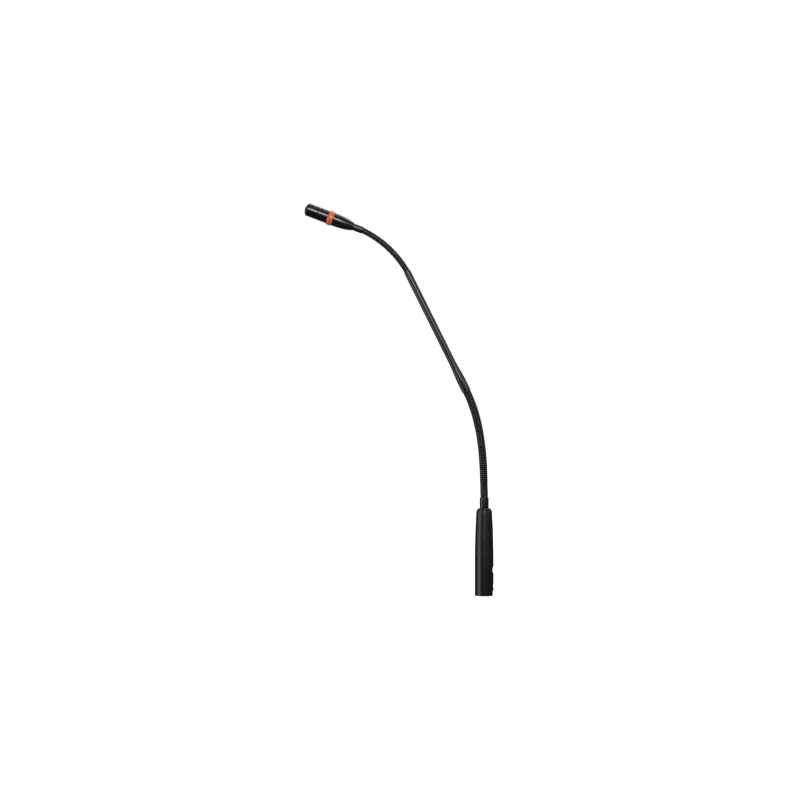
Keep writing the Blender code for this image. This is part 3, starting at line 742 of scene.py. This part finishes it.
def neck():
    collar_mouth = UP * reach("neck_collar", BASE_PLACE)[1]
    tube_bottom = TUBE_PLACE @ (UP * TUBE_BOTTOM)
    tube_top = TUBE_PLACE @ (UP * TUBE_TOP)
    head_back = HEAD_PLACE.translation
    tube_up = (tube_top - tube_bottom).normalized()
    head_up = (HEAD_PLACE @ UP - head_back).normalized()
    flexible_length("lower_winding", LOWER_JOINTS, ((collar_mouth, -UP), (tube_bottom, tube_up)),
                    link_radius("lower_neck_link_01", LOWER_JOINTS) + CREST_RISE, LOWER_WINDING)
    flexible_length("upper_winding", UPPER_JOINTS, ((tube_top, -tube_up), (head_back, head_up)),
                    link_radius("upper_neck_link_01", UPPER_JOINTS), UPPER_WINDING)


def cable_stretch(label, body, start, end, *nodes):
    """Cable inside a rigid piece, up to where a flexible length takes over."""
    length = (end - start).length
    outline = [(0.0, 0.0), (CABLE_RADIUS, 0.0), (CABLE_RADIUS, length), (0.0, length)]
    piece = turned(label, outline, 16, "cable_jacket", heading(start, end))
    settle(piece, body, "cable_jacket", *nodes)


def cables():
    board_top = reach("preamp_board", BASE_PLACE)[1]
    collar_top = reach("neck_collar", BASE_PLACE)[1]
    seal_back = reach("capsule_seal", HEAD_PLACE)[0]
    cable_stretch("base_cable", "base", UP * (board_top + 0.0004), UP * (collar_top - SOCKET_REACH))
    cable_stretch("tube_cable", "tube", TUBE_PLACE @ (UP * (TUBE_BOTTOM + SOCKET_REACH)),
                  TUBE_PLACE @ (UP * (TUBE_TOP - SOCKET_REACH)), "signal_cable")
    cable_stretch("head_cable", "head", HEAD_PLACE @ (UP * SOCKET_REACH), HEAD_PLACE @ (UP * seal_back))


def rigid_tube():
    bottom, top, flare = TUBE_BOTTOM, TUBE_TOP, FLARE_RADIUS
    body = TUBE_RADIUS
    flare_end = bottom + FLARE_LENGTH
    taper_end = flare_end + FLARE_TAPER
    outline = [(LOWER_SOCKET, bottom, 0.0001), (flare, bottom, 0.0003), (flare, flare_end, 0.0100),
               (body + 0.0002, taper_end, 0.0200), (body, taper_end + 0.0060, 0.0200),
               (body, top, 0.0003), (UPPER_SOCKET, top, 0.0001), (UPPER_SOCKET, top - SOCKET_DEPTH, 0.0002),
               (TUBE_BORE, top - 0.0090, 0.0003), (TUBE_BORE, bottom + 0.0100, 0.0003),
               (LOWER_SOCKET, bottom + SOCKET_DEPTH, 0.0002)]
    tube = turned("middle_tube", rounded(outline, steps=8), 96, "turned_black", TUBE_PLACE)
    settle(tube, "tube", "satin_black_metal", "rigid_tube")


# Head

def head_shells():
    back, front, ferrule = reach("head_ferrule", HEAD_PLACE)
    sleeve_end = FERRULE_LENGTH + SEAM
    outline = [(UPPER_SOCKET, back, 0.0001), (ferrule, back, 0.0003), (ferrule, sleeve_end, 0.0001),
               (0.0026, sleeve_end, 0.0), (0.0026, front, 0.0002), (CABLE_HOLE, front, 0.0001),
               (CABLE_HOLE, 0.0090, 0.0001), (UPPER_SOCKET, SOCKET_DEPTH, 0.0002)]
    sleeve = turned("neck_ferrule", rounded(outline), 96, "turned_black", HEAD_PLACE)
    settle(sleeve, "head", "satin_black_metal", "head_ferrule")

    start, _, widest = reach("head_body", HEAD_PLACE)
    start -= SEAM
    shoulder = BODY_END + SEAM
    outline = [(BODY_BORE, start, 0.0001)]
    steps = 24
    for step in range(steps + 1):
        share = step / steps
        radius = widest - (widest - BODY_TAIL_RADIUS) * (1 - share) ** BODY_CURVE
        fillet = {0: 0.0003, steps: 0.0002}.get(step, 0.0)
        outline.append((radius, start + (shoulder - start) * share, fillet))
    outline += [(SPIGOT_RADIUS, shoulder, 0.0), (SPIGOT_RADIUS, SPIGOT_END, 0.0001),
                (SPIGOT_BORE, SPIGOT_END, 0.0001), (SPIGOT_BORE, 0.0210, 0.0002),
                (BODY_BORE, 0.0185, 0.0002)]
    body = turned("head_shell", rounded(outline), 128, "gloss_black_metal", HEAD_PLACE)
    settle(body, "head", "gloss_black_metal", "head_body")


def light_ring():
    start, end, radius = reach("led_ring", HEAD_PLACE)
    start -= SEAM
    end += SEAM
    edge = radius - RING_CROWN
    outline = [(RING_BORE, start, 0.0001), (edge, start, 0.0004)]
    steps = 12
    for step in range(1, steps):
        share = step / steps
        outline.append((edge + (radius - edge) * math.sin(math.pi * share) ** 0.7,
                        start + (end - start) * share, 0.0))
    outline += [(edge, end, 0.0004), (RING_BORE, end, 0.0001),
                (RING_BORE, end - RING_WALL, 0.0001), (RING_GROOVE, end - RING_WALL, 0.0002),
                (RING_GROOVE, start + RING_WALL, 0.0002), (RING_BORE, start + RING_WALL, 0.0001)]
    ring = turned("light_ring", rounded(outline), 128, "red_lens", HEAD_PLACE)
    settle(ring, "head", "red_lens", "led_ring")


def slot_cutters(centres):
    """Short slots with round ends, in banks half way between the capsule tube's four sides."""
    half = SLOT_WIDTH / 2
    shapes = []
    for bank in range(SLOT_BANKS):
        turn = Matrix.Rotation(math.tau * (bank + 0.5) / SLOT_BANKS, 4, "Z")
        for centre in centres:
            slot = box_shape((SLOT_FLOOR, -SLOT_LENGTH / 2, centre - half),
                             (0.0080, SLOT_LENGTH / 2, centre + half))
            bmesh.ops.bevel(slot, geom=[edge for edge in slot.edges if along_x(edge)], offset=0.9 * half,
                            segments=4, affect="EDGES", profile=0.5)
            slot.transform(turn)
            shapes.append(slot)
    return shapes


def along_x(edge):
    first, last = (corner.co for corner in edge.verts)
    return abs(first.x - last.x) > 0.0001


def capsule_shells():
    start, end, radius = reach("capsule_housing", HEAD_PLACE)
    start -= SEAM
    end += SEAM
    bore = radius - CAPSULE_WALL
    outline = [(BACK_HOLE, start, 0.0001), (radius, start, 0.0002), (radius, end - CAPSULE_CHAMFER, 0.0002),
               (radius - CAPSULE_CHAMFER, end, 0.0001), (bore, end, 0.0001),
               (bore, BACK_PLATE_END, 0.0001), (BACK_HOLE, BACK_PLATE_END, 0.0001)]
    housing = turned("capsule_tube", rounded(outline), 128, "gloss_black_metal", HEAD_PLACE)
    carve(housing, slot_cutters(SLOT_CENTRES[:2]), 0.0001)
    settle(housing, "head", "gloss_black_metal", "capsule_housing")

    start, end, radius = reach("capsule_cap", HEAD_PLACE)
    start -= SEAM
    centre = end - DOME_RADIUS
    steps = 14
    outline = []
    for step in range(steps + 1):
        share = step / steps
        height = centre + math.sqrt(DOME_RADIUS ** 2 - (radius * share) ** 2)
        outline.append((radius * share, height, 0.0008 if step == steps else 0.0))
    outline += [(radius, start + CAPSULE_CHAMFER, 0.0002), (radius - CAPSULE_CHAMFER, start, 0.0001),
                (bore, start, 0.0001)]
    inner = DOME_RADIUS - CAPSULE_WALL
    for step in range(steps, -1, -1):
        share = step / steps
        outline.append((bore * share, centre + math.sqrt(inner ** 2 - (bore * share) ** 2), 0.0))
    cap = turned("capsule_front_cap", rounded(outline, closed=False), 128, "gloss_black_metal", HEAD_PLACE)
    holes = slot_cutters(SLOT_CENTRES[2:])
    spots = [Matrix.Identity(4)]
    for number in range(SOUND_HOLES):
        turn = Matrix.Rotation(math.tau * number / SOUND_HOLES, 4, "Z")
        spots.append(Matrix.Translation(turn @ Vector((SOUND_CIRCLE, 0.0, 0.0))))
    holes += [rod_shape(SOUND_HOLE, SOUND_HOLE_START, end + 0.002, spot, 32) for spot in spots]
    carve(cap, holes, 0.0001)
    settle(cap, "head", "gloss_black_metal", "capsule_cap")


# What stays as the CAD made it, with a finish of its own

def dress_cad_nodes():
    slots = {part["node"]: part["material_slot"] for part in frame["record"]["subparts"]}
    for name, obj in frame["nodes"].items():
        if obj.hide_render:
            continue
        obj.data.materials.clear()
        obj.data.materials.append(MATERIALS[slots[name]])


# Studio

def softbox(name, azimuth, elevation, size, radiance):
    """Soft light seen at an azimuth to the camera's right and a height above it, in degrees."""
    turn, lift = math.radians(azimuth), math.radians(elevation)
    away = Vector((math.sin(turn) * math.cos(lift), -math.cos(turn) * math.cos(lift), math.sin(lift)))
    data = bpy.data.lights.new(name, "AREA")
    data.shape = "RECTANGLE"
    data.size = 2 * LIGHT_DISTANCE * math.tan(math.radians(size[0]) / 2)
    data.size_y = 2 * LIGHT_DISTANCE * math.tan(math.radians(size[1]) / 2)
    data.energy = radiance * math.pi * data.size * data.size_y
    light = bpy.data.objects.new(name, data)
    bpy.context.scene.collection.objects.link(light)
    light.rotation_mode = "QUATERNION"
    light.rotation_quaternion = away.to_track_quat("Z", "Y")
    light.location = (CAD_LOW + CAD_HIGH) / 2 + LIGHT_DISTANCE * away
    light.visible_camera = False


def studio():
    softbox("left_softbox", -69.0, 11.0, (42.0, 84.0), 1.75)
    softbox("key_softbox", 2.0, 22.0, (20.0, 24.0), 8.8)
    softbox("right_softbox", 50.0, 21.0, (80.0, 20.0), 1.6)
    softbox("top_softbox", 138.0, 60.0, (50.0, 50.0), 1.3)
    softbox("back_softbox", 178.0, 20.0, (12.0, 50.0), 0.9)

    world = bpy.data.worlds.new("studio")
    world.use_nodes = True
    bpy.context.scene.world = world
    tree = world.node_tree
    background = tree.nodes["Background"]
    seen = add(tree, "LightPath").outputs["Is Camera Ray"]
    tree.links.new(mixed(tree, seen, (0.09, 0.09, 0.09), (1.0, 1.0, 1.0)), background.inputs["Color"])

    span = 12.0
    floor_mesh = bpy.data.meshes.new("floor")
    height = CAD_LOW.z - FLOOR_GAP
    floor_mesh.from_pydata([(-span, -span, height), (span, -span, height), (span, span, height),
                            (-span, span, height)], [], [(0, 1, 2, 3)])
    floor = bpy.data.objects.new("floor", floor_mesh)
    bpy.context.scene.collection.objects.link(floor)
    pale, _, _ = new_material("pale_floor", {
        "Base Color": (0.9, 0.9, 0.9, 1.0), "Roughness": 0.9, "Specular IOR Level": 0.0,
        "Emission Color": (1.0, 1.0, 1.0, 1.0), "Emission Strength": 1.0})
    floor_mesh.materials.append(pale)
    floor.visible_glossy = False
    floor.visible_diffuse = False


def camera():
    data = bpy.data.cameras.new("camera")
    data.sensor_width = SENSOR
    data.lens = SENSOR * CAMERA_DISTANCE / VIEW_WIDTH
    data.clip_end = 50.0
    made = bpy.data.objects.new("camera", data)
    bpy.context.scene.collection.objects.link(made)
    made.location = (CAD_LOW + CAD_HIGH) / 2 + FRAMING - Vector((0.0, CAMERA_DISTANCE, 0.0))
    made.rotation_euler = (math.pi / 2, 0.0, 0.0)
    bpy.context.scene.camera = made
    bpy.context.scene.view_settings.view_transform = "Standard"


camera()
base_housing()
base_cap()
collar()
xlr_contacts()
neck()
cables()
rigid_tube()
head_shells()
light_ring()
capsule_shells()
dress_cad_nodes()
studio()
